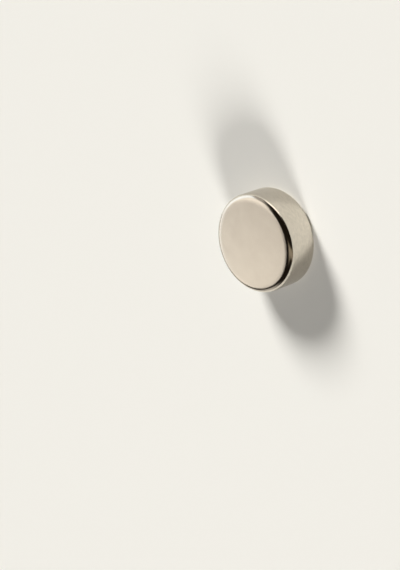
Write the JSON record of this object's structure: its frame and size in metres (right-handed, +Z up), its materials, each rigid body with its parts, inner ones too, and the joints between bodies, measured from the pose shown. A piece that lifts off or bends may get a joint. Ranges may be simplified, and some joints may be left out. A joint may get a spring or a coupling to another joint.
{
  "type": "disc magnet",
  "caption": "Flat round disc magnet with plane pole faces, a straight ground rim and softly rounded edges.",
  "frame": {"origin": "centre of the lower pole face, on which the disc rests", "axes": "+Z up along the disc's own axis, which is also its axis of magnetisation; X and Y are any two directions across the disc"},
  "size_m": [0.008, 0.008, 0.003],
  "materials": {
    "nickel_plating": "nickel plating, satin on the pole faces and the ground rim, brighter on the tumbled edges"
  },
  "bodies": {
    "root": {"magnet": "nickel_plating"}
  },
  "joints": []
}
